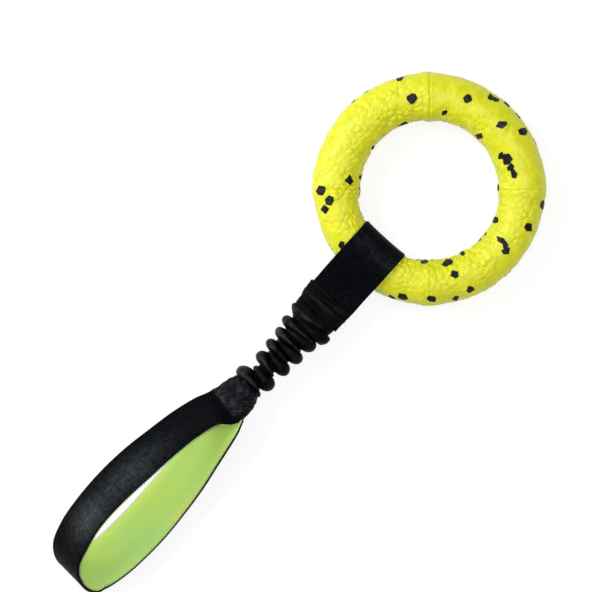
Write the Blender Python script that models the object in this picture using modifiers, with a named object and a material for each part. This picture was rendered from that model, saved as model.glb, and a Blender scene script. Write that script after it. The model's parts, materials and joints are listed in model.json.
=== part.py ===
"""Dog tug toy: a moulded foam ring on a webbing strap, a ruched bungee and a padded hand loop.

The toy lies flat as it would on a table. +X runs from the hand loop to the ring, +Z is up, and
the origin lies under the middle of the whole length, on the surface that the toy rests on.
"""
import math

import bpy
import numpy as np

# Clearance between pieces that are sewn or bonded together
FIT_GAP = 0.0003

# Ring
RING_DIAMETER = 0.1397
RING_TUBE_DIAMETER = 0.0276
RING_SKIN_WALL = 0.0045
RING_SEAM_GAP = 0.0003
RING_SEAM_SWELL = 0.0006
RING_SEAM_SPREAD = 0.0065
RING_SEAM_BEARING = math.radians(42.1)
RING_QUARTERS = ("left", "strap_side", "right", "tip")
RING_STEPS_PER_QUARTER = 12
RING_TUBE_SIDES = 16
RING_CORE_SIDES = 10

# Webbing strap round the ring
STRAP_WIDTH = 0.0306
STRAP_THICKNESS = 0.0015
STRAP_RUNNING_GAP = 0.0006
STRAP_REACH = 0.0118
STRAP_PARALLEL_RUN = 0.005
STRAP_NECK = 0.005
STRAP_TUCK = 0.013
STRAP_END_TRIM = 0.0009
STRAP_STIFFNESS_SHARE = 0.6
STRAP_REST_ARC = math.radians(24)
STRAP_FOLD_STEPS = 13
STRAP_ARC_STEPS = 3
STRAP_LEG_STEPS = 6
STRAP_CELLS_ACROSS = 4

# Elastic band inside the bungee
ELASTIC_WIDTH = 0.008
ELASTIC_THICKNESS = 0.0024
ELASTIC_TUCK = 0.016
ELASTIC_STEPS = 24

# Front cuff: the wide end of the sleeve, sewn over the strap's two ends
CUFF_WALL = 0.001
CUFF_RUFFLE_DEPTH = 0.0005
CUFF_CORNER_STEPS = 3
CUFF_SIDE_CELLS = 4
CUFF_STEPS_PER_RUFFLE = 4
TUCK_STEPS = 3
FRONT_CUFF_LENGTH = 0.021
FRONT_CUFF_REAR_WIDTH = 0.0285
FRONT_CUFF_REAR_HEIGHT = 0.021
FRONT_CUFF_REAR_CORNER = 0.008
FRONT_CUFF_DRIFT = 0.0006
FRONT_CUFF_RUFFLES = 5

# Ruched sleeve over the elastic
SLEEVE_LENGTH = 0.050
SLEEVE_WALL = 0.0009
SLEEVE_FRONT_SLACK = 0.0033
SLEEVE_FRONT_RIDGE = 0.0048
SLEEVE_REAR_RIDGE = 0.0056
SLEEVE_FRONT_Y = -0.0004
SLEEVE_REAR_Y = 0.0028
SLEEVE_REAR_LIFT = 0.0008
SLEEVE_RIDGE_FULLNESS = 0.65
SLEEVE_STEPS = 64
SLEEVE_SIDES = 18

# Where its one helical ridge crosses the right and the left side in turn, from the rear end
SLEEVE_RIDGE_SHARES = (0.02, 0.08, 0.17, 0.36, 0.43, 0.54, 0.62, 0.71, 0.82, 0.88, 0.985)

# Rear cuff: the tab sewn over the hand loop's two ends
REAR_CUFF_LENGTH = 0.0174
REAR_CUFF_FRONT_WIDTH = 0.0205
REAR_CUFF_FRONT_HEIGHT = 0.0175
REAR_CUFF_FRONT_CORNER = 0.007
REAR_CUFF_STEPS = 8

# Hand loop
HANDLE_WIDTH = 0.030
HANDLE_THICKNESS = 0.0016
HANDLE_NECK = 0.005
HANDLE_TUCK = 0.009
HANDLE_END_TRIM = 0.0009
HANDLE_PARALLEL_RUN = 0.002
HANDLE_REACH = 0.1305
HANDLE_LEAN = 0.0214
HANDLE_RISE = 0.0309
HANDLE_TILT = math.radians(47)
HANDLE_ROOT_TILT = math.radians(27)
HANDLE_STEPS = 66
HANDLE_CELLS_ACROSS = 3
PADDING_THICKNESS = 0.0025
PADDING_INSET = 0.0008
PADDING_SETBACK = 0.010

# The loop's route, out over the top and back below: shares of its reach, lean, rise and tilt
HANDLE_ROUTE_SHARES = (
    (0.054, 0.400, 0.430, 0.850),
    (0.159, 0.655, 0.720, 1.000),
    (0.274, 0.800, 0.871, 1.020),
    (0.441, 0.943, 0.975, 0.960),
    (0.607, 0.985, 1.000, 0.930),
    (0.742, 0.945, 0.951, 0.920),
    (0.861, 0.845, 0.820, 0.930),
    (0.950, 0.655, 0.660, 0.960),
    (0.990, 0.385, 0.480, 0.950),
    (1.000, 0.120, 0.310, 0.850),
    (0.985, -0.050, 0.170, 0.680),
    (0.940, -0.140, 0.060, 0.560),
    (0.838, -0.303, 0.000, 0.510),
    (0.706, -0.390, 0.000, 0.490),
    (0.4655, -0.362, 0.020, 0.570),
    (0.3103, -0.287, 0.050, 0.670),
    (0.1800, -0.170, 0.095, 0.700),
    (0.0700, -0.020, 0.160, 0.640),
)

# Sizes of the ring and of the strap round it
RING_TUBE_RADIUS = RING_TUBE_DIAMETER / 2
RING_CENTRE_RADIUS = RING_DIAMETER / 2 - RING_SEAM_SWELL - RING_TUBE_RADIUS
RING_CORE_RADIUS = RING_TUBE_RADIUS - RING_SKIN_WALL - FIT_GAP
STRAP_RADIUS = RING_TUBE_RADIUS + RING_SEAM_SWELL + STRAP_RUNNING_GAP
RING_LEVEL = STRAP_RADIUS * math.cos(STRAP_REST_ARC / 2) + STRAP_THICKNESS

# Half of the gap that two webbing layers leave for the elastic between them
LAYER_GAP = ELASTIC_THICKNESS / 2 + FIT_GAP
STRAP_END_WIDTH = STRAP_WIDTH - 2 * STRAP_END_TRIM
HANDLE_END_WIDTH = HANDLE_WIDTH - 2 * HANDLE_END_TRIM

# Narrowest radius of the sleeve that the elastic passes through
SLEEVE_BORE_RADIUS = math.hypot(ELASTIC_WIDTH, ELASTIC_THICKNESS) / 2 + 2 * FIT_GAP
SLEEVE_VALLEY_RADIUS = SLEEVE_BORE_RADIUS + SLEEVE_WALL

# Places along X, from the ring back to the hand loop
TOY_LENGTH = (
    RING_DIAMETER + STRAP_REACH + STRAP_NECK + FRONT_CUFF_LENGTH + SLEEVE_LENGTH
    + REAR_CUFF_LENGTH + HANDLE_NECK + HANDLE_REACH + 2 * FIT_GAP
)
RING_X = (TOY_LENGTH - RING_DIAMETER) / 2
STRAP_FOLD_X = RING_X - RING_DIAMETER / 2 - STRAP_REACH
FRONT_CUFF_X = STRAP_FOLD_X - STRAP_NECK
BUNGEE_BEND_X = FRONT_CUFF_X - FRONT_CUFF_LENGTH
SLEEVE_X = BUNGEE_BEND_X - FIT_GAP
SLEEVE_REAR_X = SLEEVE_X - SLEEVE_LENGTH
REAR_CUFF_X = SLEEVE_REAR_X - FIT_GAP
REAR_CUFF_MOUTH_X = REAR_CUFF_X - REAR_CUFF_LENGTH
HANDLE_FOLD_X = REAR_CUFF_MOUTH_X - HANDLE_NECK
BUNGEE_REAR_LEVEL = RING_LEVEL + SLEEVE_REAR_LIFT

# Joint axes pass through these points
RING_CENTRE = np.array((RING_X, 0, RING_LEVEL))
STRAP_FOLD = np.array((STRAP_FOLD_X, 0, RING_LEVEL))
BUNGEE_BEND = np.array((BUNGEE_BEND_X, SLEEVE_FRONT_Y, RING_LEVEL))
BUNGEE_END = np.array((REAR_CUFF_X, SLEEVE_REAR_Y, BUNGEE_REAR_LEVEL))
HANDLE_FOLD = np.array((HANDLE_FOLD_X, SLEEVE_REAR_Y, BUNGEE_REAR_LEVEL))

# Colour, roughness and metallic value of each material
MATERIALS = {
    "foam_yellow": ((0.76, 0.80, 0.015), 0.55, 0.0),
    "foam_core": ((0.50, 0.52, 0.10), 0.90, 0.0),
    "webbing_black": ((0.006, 0.007, 0.009), 0.70, 0.0),
    "sleeve_black": ((0.008, 0.009, 0.011), 0.60, 0.0),
    "elastic_grey": ((0.10, 0.10, 0.10), 0.80, 0.0),
    "neoprene_lime": ((0.42, 0.72, 0.16), 0.85, 0.0),
}


def clear_scene():
    for thing in list(bpy.data.objects):
        bpy.data.objects.remove(thing)


def make_material(name):
    colour, roughness, metallic = MATERIALS[name]
    material = bpy.data.materials.new(name)
    material.use_nodes = True
    shader = material.node_tree.nodes["Principled BSDF"]
    shader.inputs["Base Color"].default_value = (*colour, 1)
    shader.inputs["Roughness"].default_value = roughness
    shader.inputs["Metallic"].default_value = metallic
    material.diffuse_color = (*colour, 1)
    return material


def make_axis(name, place, parent=None):
    """An empty on a joint's axis, which carries the pieces that the joint moves."""
    empty = bpy.data.objects.new(name, None)
    empty.location = place if parent is None else place - np.array(parent["place"])
    empty["place"] = [float(value) for value in place]
    empty.parent = parent
    collection.objects.link(empty)
    return empty


def finish_piece(piece, material, axis):
    """Gives a piece its material and smooth shading, and hangs it on its joint's empty."""
    piece.data.materials.append(materials[material])
    piece.data.shade_smooth()
    piece.data.set_sharp_from_angle(angle=math.radians(40))
    piece.parent = axis
    return piece


def loft(name, rows, material, axis, round_columns=False, wall=None, side=0):
    """A surface through unlike rows of points, closed at its ends or given a wall.

    The columns go round where the surface is a tube. The wall grows to the outer side of the
    rows where side is 1, to the inner side where it is -1 and to both where it is 0.
    """
    rows = np.asarray(rows, float)
    row_count, column_count = rows.shape[:2]
    points = rows.reshape(-1, 3) - np.array(axis["place"])
    faces = []
    for row in range(row_count - 1):
        for column in range(column_count if round_columns else column_count - 1):
            after = (column + 1) % column_count
            here = row * column_count
            there = here + column_count
            faces.append((here + column, here + after, there + after, there + column))
    if wall is None:
        last_row = (row_count - 1) * column_count
        faces.append(tuple(reversed(range(column_count))))
        faces.append(tuple(range(last_row, last_row + column_count)))
    mesh = bpy.data.meshes.new(name)
    mesh.from_pydata(points.tolist(), [], faces)
    piece = bpy.data.objects.new(name, mesh)
    collection.objects.link(piece)
    if wall is not None:
        solidify = piece.modifiers.new("wall", "SOLIDIFY")
        solidify.thickness = wall
        solidify.offset = side
        solidify.use_even_offset = True
    return finish_piece(piece, material, axis)


def across(tilt):
    """Direction of a band's width, whose left edge is the lower one where the band is tilted."""
    return np.array((0, math.cos(tilt), -math.sin(tilt)))


def outward(tilt):
    return np.array((0, math.sin(tilt), math.cos(tilt)))


def bungee_middle(x):
    """Middle of the cuffs and of the sleeve at x."""
    stations = (HANDLE_FOLD_X, REAR_CUFF_X, BUNGEE_BEND_X, FRONT_CUFF_X)
    y = np.interp(x, stations, (SLEEVE_REAR_Y, SLEEVE_REAR_Y, SLEEVE_FRONT_Y, 0))
    z = np.interp(x, stations, (BUNGEE_REAR_LEVEL, BUNGEE_REAR_LEVEL, RING_LEVEL, RING_LEVEL))
    return np.array((x, y, z))


def bungee_tilt(x):
    """The bungee's band twists from level at the ring's end to the hand loop's tilt."""
    return float(np.interp(x, (REAR_CUFF_X, BUNGEE_BEND_X), (HANDLE_ROOT_TILT, 0)))


def band(x_values, half_widths, offset):
    """Rows of a flat band that follows the bungee, on one side of its middle surface."""
    rows = []
    for x, half_width in zip(x_values, half_widths):
        middle = bungee_middle(x) + outward(bungee_tilt(x)) * offset
        rows.append([middle - across(bungee_tilt(x)) * half_width,
                     middle + across(bungee_tilt(x)) * half_width])
    return rows


def rounded_section(half_width, half_height, corner):
    """Points round a box with rounded corners, anticlockwise from its right side."""
    points = []
    for quarter, (side, top) in enumerate(((1, 1), (-1, 1), (-1, -1), (1, -1))):
        centre = np.array((side * (half_width - corner), top * (half_height - corner)))
        for step in range(CUFF_CORNER_STEPS + 1):
            angle = (quarter + step / CUFF_CORNER_STEPS) * math.pi / 2
            points.append(centre + corner * np.array((math.cos(angle), math.sin(angle))))
        if side == top:
            for share in np.arange(1, CUFF_SIDE_CELLS) / CUFF_SIDE_CELLS:
                x = side * (half_width - corner) * (1 - 2 * share)
                points.append(np.array((x, top * half_height)))
    return points


def front_cuff_size(share):
    """Half width, half height and corner of the front cuff, from its mouth back."""
    corner = CUFF_WALL + FIT_GAP
    mouth = (STRAP_END_WIDTH / 2 + corner, LAYER_GAP + STRAP_THICKNESS + corner, corner)
    rear = (FRONT_CUFF_REAR_WIDTH / 2, FRONT_CUFF_REAR_HEIGHT / 2, FRONT_CUFF_REAR_CORNER)
    return [a + (b - a) * share for a, b in zip(mouth, rear)]


def rear_cuff_size(share):
    """Half width, half height and corner of the rear cuff, from its mouth forward."""
    corner = CUFF_WALL + FIT_GAP
    mouth = (HANDLE_END_WIDTH / 2 + corner, LAYER_GAP + HANDLE_THICKNESS + corner, corner)
    front = (REAR_CUFF_FRONT_WIDTH / 2, REAR_CUFF_FRONT_HEIGHT / 2, REAR_CUFF_FRONT_CORNER)
    return [a + (b - a) * share for a, b in zip(mouth, front)]


def make_torus(name, radius, owner):
    """A plain torus inside the ring's tube."""
    bpy.ops.mesh.primitive_torus_add(
        major_radius=RING_CENTRE_RADIUS, minor_radius=radius,
        major_segments=RING_STEPS_PER_QUARTER * len(RING_QUARTERS),
        minor_segments=RING_CORE_SIDES,
    )
    torus = bpy.context.object
    torus.name = torus.data.name = name
    for collection_now in list(torus.users_collection):
        collection_now.objects.unlink(torus)
    owner.objects.link(torus)
    torus.parent = ring_axis
    return torus


def make_ring():
    """Foam core under four moulded quarters of skin, which meet at four seams."""
    finish_piece(make_torus("ring_core", RING_CORE_RADIUS, collection), "foam_core", ring_axis)
    bore = make_torus("ring_bore", RING_CORE_RADIUS + FIT_GAP, cutters)
    bore.hide_render = True
    bore.display_type = "WIRE"
    half_gap = RING_SEAM_GAP / 2 / RING_CENTRE_RADIUS
    for index, quarter in enumerate(RING_QUARTERS):
        first = RING_SEAM_BEARING + index * math.pi / 2 + half_gap
        last = first + math.pi / 2 - 2 * half_gap
        rows = []
        for bearing in np.linspace(first, last, RING_STEPS_PER_QUARTER + 1):
            run = min(bearing - first, last - bearing) * RING_CENTRE_RADIUS
            swell = RING_SEAM_SWELL * math.exp(-(run / RING_SEAM_SPREAD) ** 2)
            rows.append(ring_section(bearing, RING_TUBE_RADIUS + swell))
        skin = loft(f"ring_skin_{quarter}", rows, "foam_yellow", ring_axis, True)
        cut = skin.modifiers.new("bore", "BOOLEAN")
        cut.operation = "DIFFERENCE"
        cut.object = bore


def ring_section(bearing, radius):
    """Points round the ring's tube, from its outer side down."""
    points = []
    for side in range(RING_TUBE_SIDES):
        angle = -2 * math.pi * side / RING_TUBE_SIDES
        reach = RING_CENTRE_RADIUS + radius * math.cos(angle)
        around = np.array((math.cos(bearing), math.sin(bearing), 0)) * reach
        points.append(RING_CENTRE + around + np.array((0, 0, radius * math.sin(angle))))
    return points


def strap_point(angle, y):
    """A point of the strap's inner face, at an angle round the ring's tube from the hand side."""
    reach = RING_CENTRE_RADIUS + STRAP_RADIUS * math.cos(angle)
    x = RING_X - math.sqrt(reach ** 2 - y ** 2)
    edge_x = RING_X - math.sqrt(reach ** 2 - (STRAP_WIDTH / 2) ** 2)
    straightening = STRAP_STIFFNESS_SHARE * max(0, -math.cos(angle)) * (edge_x - x)
    return np.array((x + straightening, y, RING_LEVEL + STRAP_RADIUS * math.sin(angle)))


def make_strap():
    """The strap leaves the fold as two level layers, which part and run round the tube."""
    start_x = STRAP_FOLD_X + FIT_GAP
    knee_x = start_x + STRAP_PARALLEL_RUN
    knee_reach = RING_X - RING_CENTRE_RADIUS - knee_x
    slope = math.asin(STRAP_RADIUS / math.hypot(knee_reach, LAYER_GAP))
    slope -= math.atan2(LAYER_GAP, knee_reach)
    parting = math.pi / 2 - slope
    rest = STRAP_REST_ARC / 2
    down = np.linspace(-parting, -math.pi / 2 + rest, STRAP_ARC_STEPS + 1)
    fold = np.linspace(-math.pi / 2 - rest, -3 * math.pi / 2 + rest, STRAP_FOLD_STEPS + 1)
    arc = [*down, *fold, *(-2 * math.pi - down[::-1])]

    y_values = np.linspace(-STRAP_WIDTH / 2, STRAP_WIDTH / 2, STRAP_CELLS_ACROSS + 1)
    leg = []
    for share in np.arange(STRAP_LEG_STEPS) / STRAP_LEG_STEPS:
        row = []
        for y in y_values:
            start = np.array((start_x, y, RING_LEVEL - LAYER_GAP))
            knee = np.array((knee_x, y, RING_LEVEL - LAYER_GAP))
            end = strap_point(-parting, y)
            row.append(start * (1 - share) ** 2 + 2 * knee * share * (1 - share)
                       + end * share ** 2)
        leg.append(row)
    round_tube = [[strap_point(angle, y) for y in y_values] for angle in arc]
    mirror = np.array((1, 1, -1))
    middle = np.array((0, 0, 2 * RING_LEVEL))
    upper_leg = [[point * mirror + middle for point in row] for row in leg[::-1]]
    loft("ring_strap", leg + round_tube + upper_leg, "webbing_black", strap_axis,
         wall=STRAP_THICKNESS, side=1)


def make_tucked_ends(names, axis, fold_x, mouth_x, tuck, thickness, width, cuff_length, cuff_size):
    """Two webbing layers that run from a fold into a cuff and taper to fit its flat part."""
    way = math.copysign(1, mouth_x - fold_x)
    x_values = [fold_x + way * FIT_GAP]
    half_widths = [width / 2]
    for run in np.linspace(0, tuck, TUCK_STEPS + 1):
        half_width, _, corner = cuff_size(run / cuff_length)
        x_values.append(mouth_x + way * run)
        half_widths.append(half_width - corner)
    if way > 0:
        x_values.reverse()
        half_widths.reverse()
    for name, side in zip(names, (1, -1)):
        rows = band(x_values, half_widths, side * LAYER_GAP)
        loft(name, rows, "webbing_black", axis, wall=thickness, side=side)


def make_cuff(name, axis, mouth_x, end_x, cuff_size, steps, ruffles, drift):
    """A fabric tube that goes from the flat webbing to the round bungee, drifting sideways."""
    shares = np.linspace(0, 1, steps + 1)
    if end_x < mouth_x:
        shares = shares[::-1]
    rows = []
    for share in shares:
        x = mouth_x + (end_x - mouth_x) * share
        tilt = bungee_tilt(x)
        middle = bungee_middle(x) - across(tilt) * drift * share
        swell = CUFF_RUFFLE_DEPTH * (1 - math.cos(2 * math.pi * ruffles * share)) / 2
        half_width, half_height, corner = cuff_size(share)
        section = rounded_section(half_width + swell, half_height + swell, corner + swell)
        rows.append([middle + across(tilt) * a + outward(tilt) * b for a, b in section])
    loft(name, rows, "sleeve_black", axis, True, wall=CUFF_WALL, side=-1)


def make_elastic():
    """The flat band that stretches, held between the webbing layers at both ends."""
    x_values = np.linspace(BUNGEE_BEND_X + ELASTIC_TUCK, REAR_CUFF_X - ELASTIC_TUCK,
                           ELASTIC_STEPS + 1)
    rows = band(x_values, [ELASTIC_WIDTH / 2] * len(x_values), 0)
    loft("bungee_elastic", rows, "elastic_grey", bend_axis, wall=ELASTIC_THICKNESS)


def make_sleeve():
    """Tubular fabric that gathers in one helical ridge over the shorter elastic."""
    half_turns = np.arange(len(SLEEVE_RIDGE_SHARES))
    rows = []
    for share in np.linspace(0, 1, SLEEVE_STEPS + 1):
        middle = bungee_middle(SLEEVE_REAR_X + SLEEVE_LENGTH * share)
        ridge_angle = math.pi * (1 + np.interp(share, SLEEVE_RIDGE_SHARES, half_turns))
        ridge = SLEEVE_REAR_RIDGE + (SLEEVE_FRONT_RIDGE - SLEEVE_REAR_RIDGE) * share
        valley = SLEEVE_VALLEY_RADIUS + SLEEVE_FRONT_SLACK * share ** 2
        row = []
        for angle in np.arange(SLEEVE_SIDES) * 2 * math.pi / SLEEVE_SIDES:
            lobe = ((1 + math.cos(angle - ridge_angle)) / 2) ** SLEEVE_RIDGE_FULLNESS
            radius = valley + ridge * lobe
            row.append(middle + radius * np.array((0, math.cos(angle), math.sin(angle))))
        rows.append(row)
    loft("bungee_sleeve", rows, "sleeve_black", bend_axis, True, wall=SLEEVE_WALL, side=-1)


def smooth_curve(points, steps):
    """Points spread along a smooth curve through the given ones, straight in both end spans."""
    points = np.asarray(points)
    chords = np.linalg.norm(np.diff(points[:, :3], axis=0), axis=1)
    knots = np.concatenate(([0], np.cumsum(chords)))
    slopes = np.gradient(points, knots, axis=0)
    places = np.array((0, *np.linspace(knots[1], knots[-2], steps - 1), knots[-1]))
    index = np.clip(np.searchsorted(knots, places, side="right") - 1, 0, len(chords) - 1)
    span = chords[index][:, None]
    share = (places - knots[index])[:, None] / span
    rest = 1 - share
    return (points[index] * (1 + 2 * share) * rest ** 2
            + points[index + 1] * (1 + 2 * rest) * share ** 2
            + slopes[index] * span * share * rest ** 2
            - slopes[index + 1] * span * rest * share ** 2)


def handle_stations():
    """Middle, width direction and outward direction along the hand loop's webbing."""
    drops = []
    for _, _, rise, share in HANDLE_ROUTE_SHARES:
        tilt = HANDLE_TILT * share
        edge = HANDLE_WIDTH / 2 * math.sin(tilt) + HANDLE_THICKNESS * math.cos(tilt)
        drops.append(edge - HANDLE_RISE * rise)
    low_level = max(drops) + FIT_GAP
    scale = np.array((HANDLE_THICKNESS - HANDLE_REACH, HANDLE_LEAN, HANDLE_RISE, HANDLE_TILT))
    origin = np.array((HANDLE_FOLD_X, 0, low_level, 0))
    route = [origin + scale * shares for shares in HANDLE_ROUTE_SHARES]
    roots = []
    for side in (1, -1):
        for run in (FIT_GAP, HANDLE_PARALLEL_RUN):
            point = HANDLE_FOLD + outward(HANDLE_ROOT_TILT) * side * LAYER_GAP
            roots.append(np.array((*(point - (run, 0, 0)), HANDLE_ROOT_TILT)))
    curve = smooth_curve([*roots[:2], *route, *roots[:1:-1]], HANDLE_STEPS)
    middles = curve[:, :3]
    headings = np.gradient(middles, axis=0)
    headings[0] = roots[1][:3] - roots[0][:3]
    headings[-1] = roots[2][:3] - roots[3][:3]
    headings /= np.linalg.norm(headings, axis=1)[:, None]
    widths = np.array([across(tilt) for tilt in curve[:, 3]])
    widths -= headings * np.sum(widths * headings, axis=1)[:, None]
    widths /= np.linalg.norm(widths, axis=1)[:, None]
    return middles, widths, np.cross(widths, headings)


def make_handle():
    """One webbing loop with a soft lining, which stops short of the rear cuff."""
    middles, widths, normals = handle_stations()
    columns = np.linspace(-1, 1, HANDLE_CELLS_ACROSS + 1) / 2
    rows = middles[:, None] + widths[:, None] * columns[:, None] * HANDLE_WIDTH
    loft("handle_webbing", rows, "webbing_black", handle_axis, wall=HANDLE_THICKNESS, side=1)
    lined = middles[:, 0] < HANDLE_FOLD_X - PADDING_SETBACK
    columns = columns * (HANDLE_WIDTH - 2 * PADDING_INSET)
    rows = (middles - normals * FIT_GAP)[:, None] + widths[:, None] * columns[:, None]
    loft("handle_padding", rows[lined], "neoprene_lime", handle_axis, wall=PADDING_THICKNESS,
         side=-1)


clear_scene()
collection = bpy.data.collections.new("dog_tug_toy")
cutters = bpy.data.collections.new("cutters")
bpy.context.scene.collection.children.link(collection)
bpy.context.scene.collection.children.link(cutters)
materials = {name: make_material(name) for name in MATERIALS}

ring_axis = make_axis("ring_axis", RING_CENTRE)
strap_axis = make_axis("strap_axis", RING_CENTRE, ring_axis)
fold_axis = make_axis("strap_fold_axis", STRAP_FOLD, strap_axis)
bend_axis = make_axis("bungee_bend_axis", BUNGEE_BEND, fold_axis)
stretch_axis = make_axis("bungee_stretch_axis", BUNGEE_END, bend_axis)
handle_axis = make_axis("handle_fold_axis", HANDLE_FOLD, stretch_axis)

make_ring()
make_strap()
make_tucked_ends(("strap_end_upper", "strap_end_lower"), fold_axis, STRAP_FOLD_X, FRONT_CUFF_X,
                 STRAP_TUCK, STRAP_THICKNESS, STRAP_END_WIDTH, FRONT_CUFF_LENGTH,
                 front_cuff_size)
make_cuff("front_cuff", fold_axis, FRONT_CUFF_X, BUNGEE_BEND_X, front_cuff_size,
          FRONT_CUFF_RUFFLES * CUFF_STEPS_PER_RUFFLE, FRONT_CUFF_RUFFLES, FRONT_CUFF_DRIFT)
make_elastic()
make_sleeve()
make_cuff("rear_cuff", stretch_axis, REAR_CUFF_MOUTH_X, REAR_CUFF_X, rear_cuff_size,
          REAR_CUFF_STEPS, 0, 0)
make_tucked_ends(("handle_end_upper", "handle_end_lower"), stretch_axis, HANDLE_FOLD_X,
                 REAR_CUFF_MOUTH_X, HANDLE_TUCK, HANDLE_THICKNESS, HANDLE_END_WIDTH,
                 REAR_CUFF_LENGTH, rear_cuff_size)
make_handle()
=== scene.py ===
"""Looks of the dog tug toy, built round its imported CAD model.

Moulded foam ring with flecks, webbing strap, gathered cuff, ruched sleeve, sewn tab and a
lined hand loop. Lengths are in metres, in the CAD model's own frame.
"""
import json
import math
import random

import bpy
import numpy as np
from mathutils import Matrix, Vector, kdtree, noise


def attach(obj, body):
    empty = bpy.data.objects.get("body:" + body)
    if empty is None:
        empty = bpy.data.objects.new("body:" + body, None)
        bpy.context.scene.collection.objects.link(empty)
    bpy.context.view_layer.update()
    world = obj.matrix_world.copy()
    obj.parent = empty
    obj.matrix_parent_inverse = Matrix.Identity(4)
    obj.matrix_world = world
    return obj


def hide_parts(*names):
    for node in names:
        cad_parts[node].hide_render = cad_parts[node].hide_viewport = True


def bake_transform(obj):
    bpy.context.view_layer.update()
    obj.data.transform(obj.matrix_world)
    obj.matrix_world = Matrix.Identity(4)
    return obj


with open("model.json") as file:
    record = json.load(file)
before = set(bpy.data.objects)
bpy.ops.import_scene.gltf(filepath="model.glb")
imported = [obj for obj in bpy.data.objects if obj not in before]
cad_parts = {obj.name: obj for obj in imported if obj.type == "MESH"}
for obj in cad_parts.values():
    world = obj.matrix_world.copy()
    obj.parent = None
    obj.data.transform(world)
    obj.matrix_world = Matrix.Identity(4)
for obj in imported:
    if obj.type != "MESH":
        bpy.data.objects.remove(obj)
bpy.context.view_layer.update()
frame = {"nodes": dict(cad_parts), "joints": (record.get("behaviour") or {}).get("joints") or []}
JOINT_PLACES = {joint["name"]: np.array(joint["pos_m"], float)
                for joint in frame["joints"] if "pos_m" in joint}
RING_CENTRE = JOINT_PLACES["strap_travel"]
STRAP_FOLD = JOINT_PLACES["strap_fold"]
HANDLE_FOLD = JOINT_PLACES["handle_fold"]

# How the toy lies in the photograph: the ring's middle in pixels, scale and turn
PICTURE_WIDTH = 600
PICTURE_HEIGHT = 592
RING_PIXEL = np.array((429.2, 189.8))
PIXELS_PER_METRE = 1690
PICTURE_TURN = math.radians(47.9)
ACROSS_PICTURE = np.array((math.cos(PICTURE_TURN), -math.sin(PICTURE_TURN)))
UP_PICTURE = np.array((math.sin(PICTURE_TURN), math.cos(PICTURE_TURN)))


def picture_point(right, down):
    """Where a pixel of the photograph lies on the table, as x and y."""
    step = (np.array((right, down), float) - RING_PIXEL) / PIXELS_PER_METRE
    return RING_CENTRE[:2] + step[0] * ACROSS_PICTURE - step[1] * UP_PICTURE


# Meshes

SELVEDGE_WIDTH = 0.0016
SELVEDGE_PLACE = 0.6
THREAD_SIDES = 6
THREAD_END_SHARE = 0.6
THREAD_HELPER = np.array((0.31, 0.52, 0.79))
NOISE_SHIFT = np.array((7.31, 3.77, 1.93))
# Patchy relief, and patchy painted sheen: level, swing, least, most, size of the patches, seed,
# stretch
PATCHES = {
    "foam": (0.65, 1.1, 0.15, 1.4, 0.01, 1), "strap": (0.8, 0.5, 0.3, 1.3, 0.006, 13),
    "sleeve": (0.7, 1.2, 0.1, 1.2, 0.0035, 23), "front_cuff": (0.6, 1, 0.1, 1.1, 0.005, 33),
    "rear_cuff": (0.5, 1.3, 0, 1.4, 0.0022, 43, (0.6, 1, 1)),
    "handle": (0.9, 0.25, 0.3, 1.4, 0.006, 52),
}
# Uneven heights: height, size of the bumps, seed, stretch
RIPPLES = {
    "foam_swell": (0.00055, 0.0065, 2), "broad_swell": (0.00044, 0.02, 3),
    "strap_pucker": (0.0003, 0.006, 11, (1, 0.35, 1)),
    "sleeve_crumple": (0.00016, 0.0016, 21, (1, 0.5, 0.5)), "sleeve_sag": (0.0004, 0.006, 22),
    "front_cuff": (0.00035, 0.0035, 31, (1, 0.6, 0.6)), "rear_cuff": (0.00022, 0.0022, 42),
    "rear_cuff_bumps": (0.0005, 0.0042, 41, (1, 0.4, 0.6)), "lining": (0.0003, 0.012, 51),
}


def stacked(*axes):
    return np.stack(np.broadcast_arrays(*axes), -1)


def unit(vectors):
    return vectors / np.linalg.norm(vectors, axis=-1)[..., None]


def run_along(points):
    """The length along a line of points at each of them."""
    return np.concatenate(([0], np.cumsum(np.linalg.norm(np.diff(points, axis=0), axis=1))))


def swept(middles, widths, normals, across, outward):
    """Rows of points across and outward from each station."""
    return (middles[:, None] + widths[:, None] * across[..., None]
            + normals[:, None] * outward[..., None])


def put(name, data):
    thing = bpy.data.objects.new(name, data)
    bpy.context.scene.collection.objects.link(thing)
    return thing


def lattice(rows, round_rows=False):
    """Quads through rows of points that go round, with cloth coordinates for each corner."""
    rows = np.asarray(rows, float)
    row_count, column_count = rows.shape[:2]
    along = run_along(rows.mean(axis=1))
    along = np.append(along, along[-1] + (along[-1] - along[-2]))
    around = run_along(rows[row_count // 2, [*range(column_count), 0]])
    r, c = (side.ravel() for side in np.meshgrid(
        np.arange(row_count - (not round_rows)), np.arange(column_count), indexing="ij"))
    corners = ((r, c), (r, c + 1), (r + 1, c + 1), (r + 1, c))
    quads = np.stack([(a % row_count) * column_count + b % column_count for a, b in corners], 1)
    cloth = np.stack([np.stack((along[a], around[b]), 1) for a, b in corners], 1)
    return {"points": rows.reshape(-1, 3), "quads": quads, "cloth": cloth, "caps": []}


def capped(rows):
    """A lattice that is closed at its two ends."""
    shell = lattice(rows)
    count, sides = len(shell["points"]), len(rows[0])
    shell["caps"] = [list(range(sides))[::-1], list(range(count - sides, count))]
    return shell


def thinned(rows, stride):
    """Every so many rows from the last back to the first, with both ends kept."""
    return rows[[*range(len(rows) - 1, 0, -stride), 0]]


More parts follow.
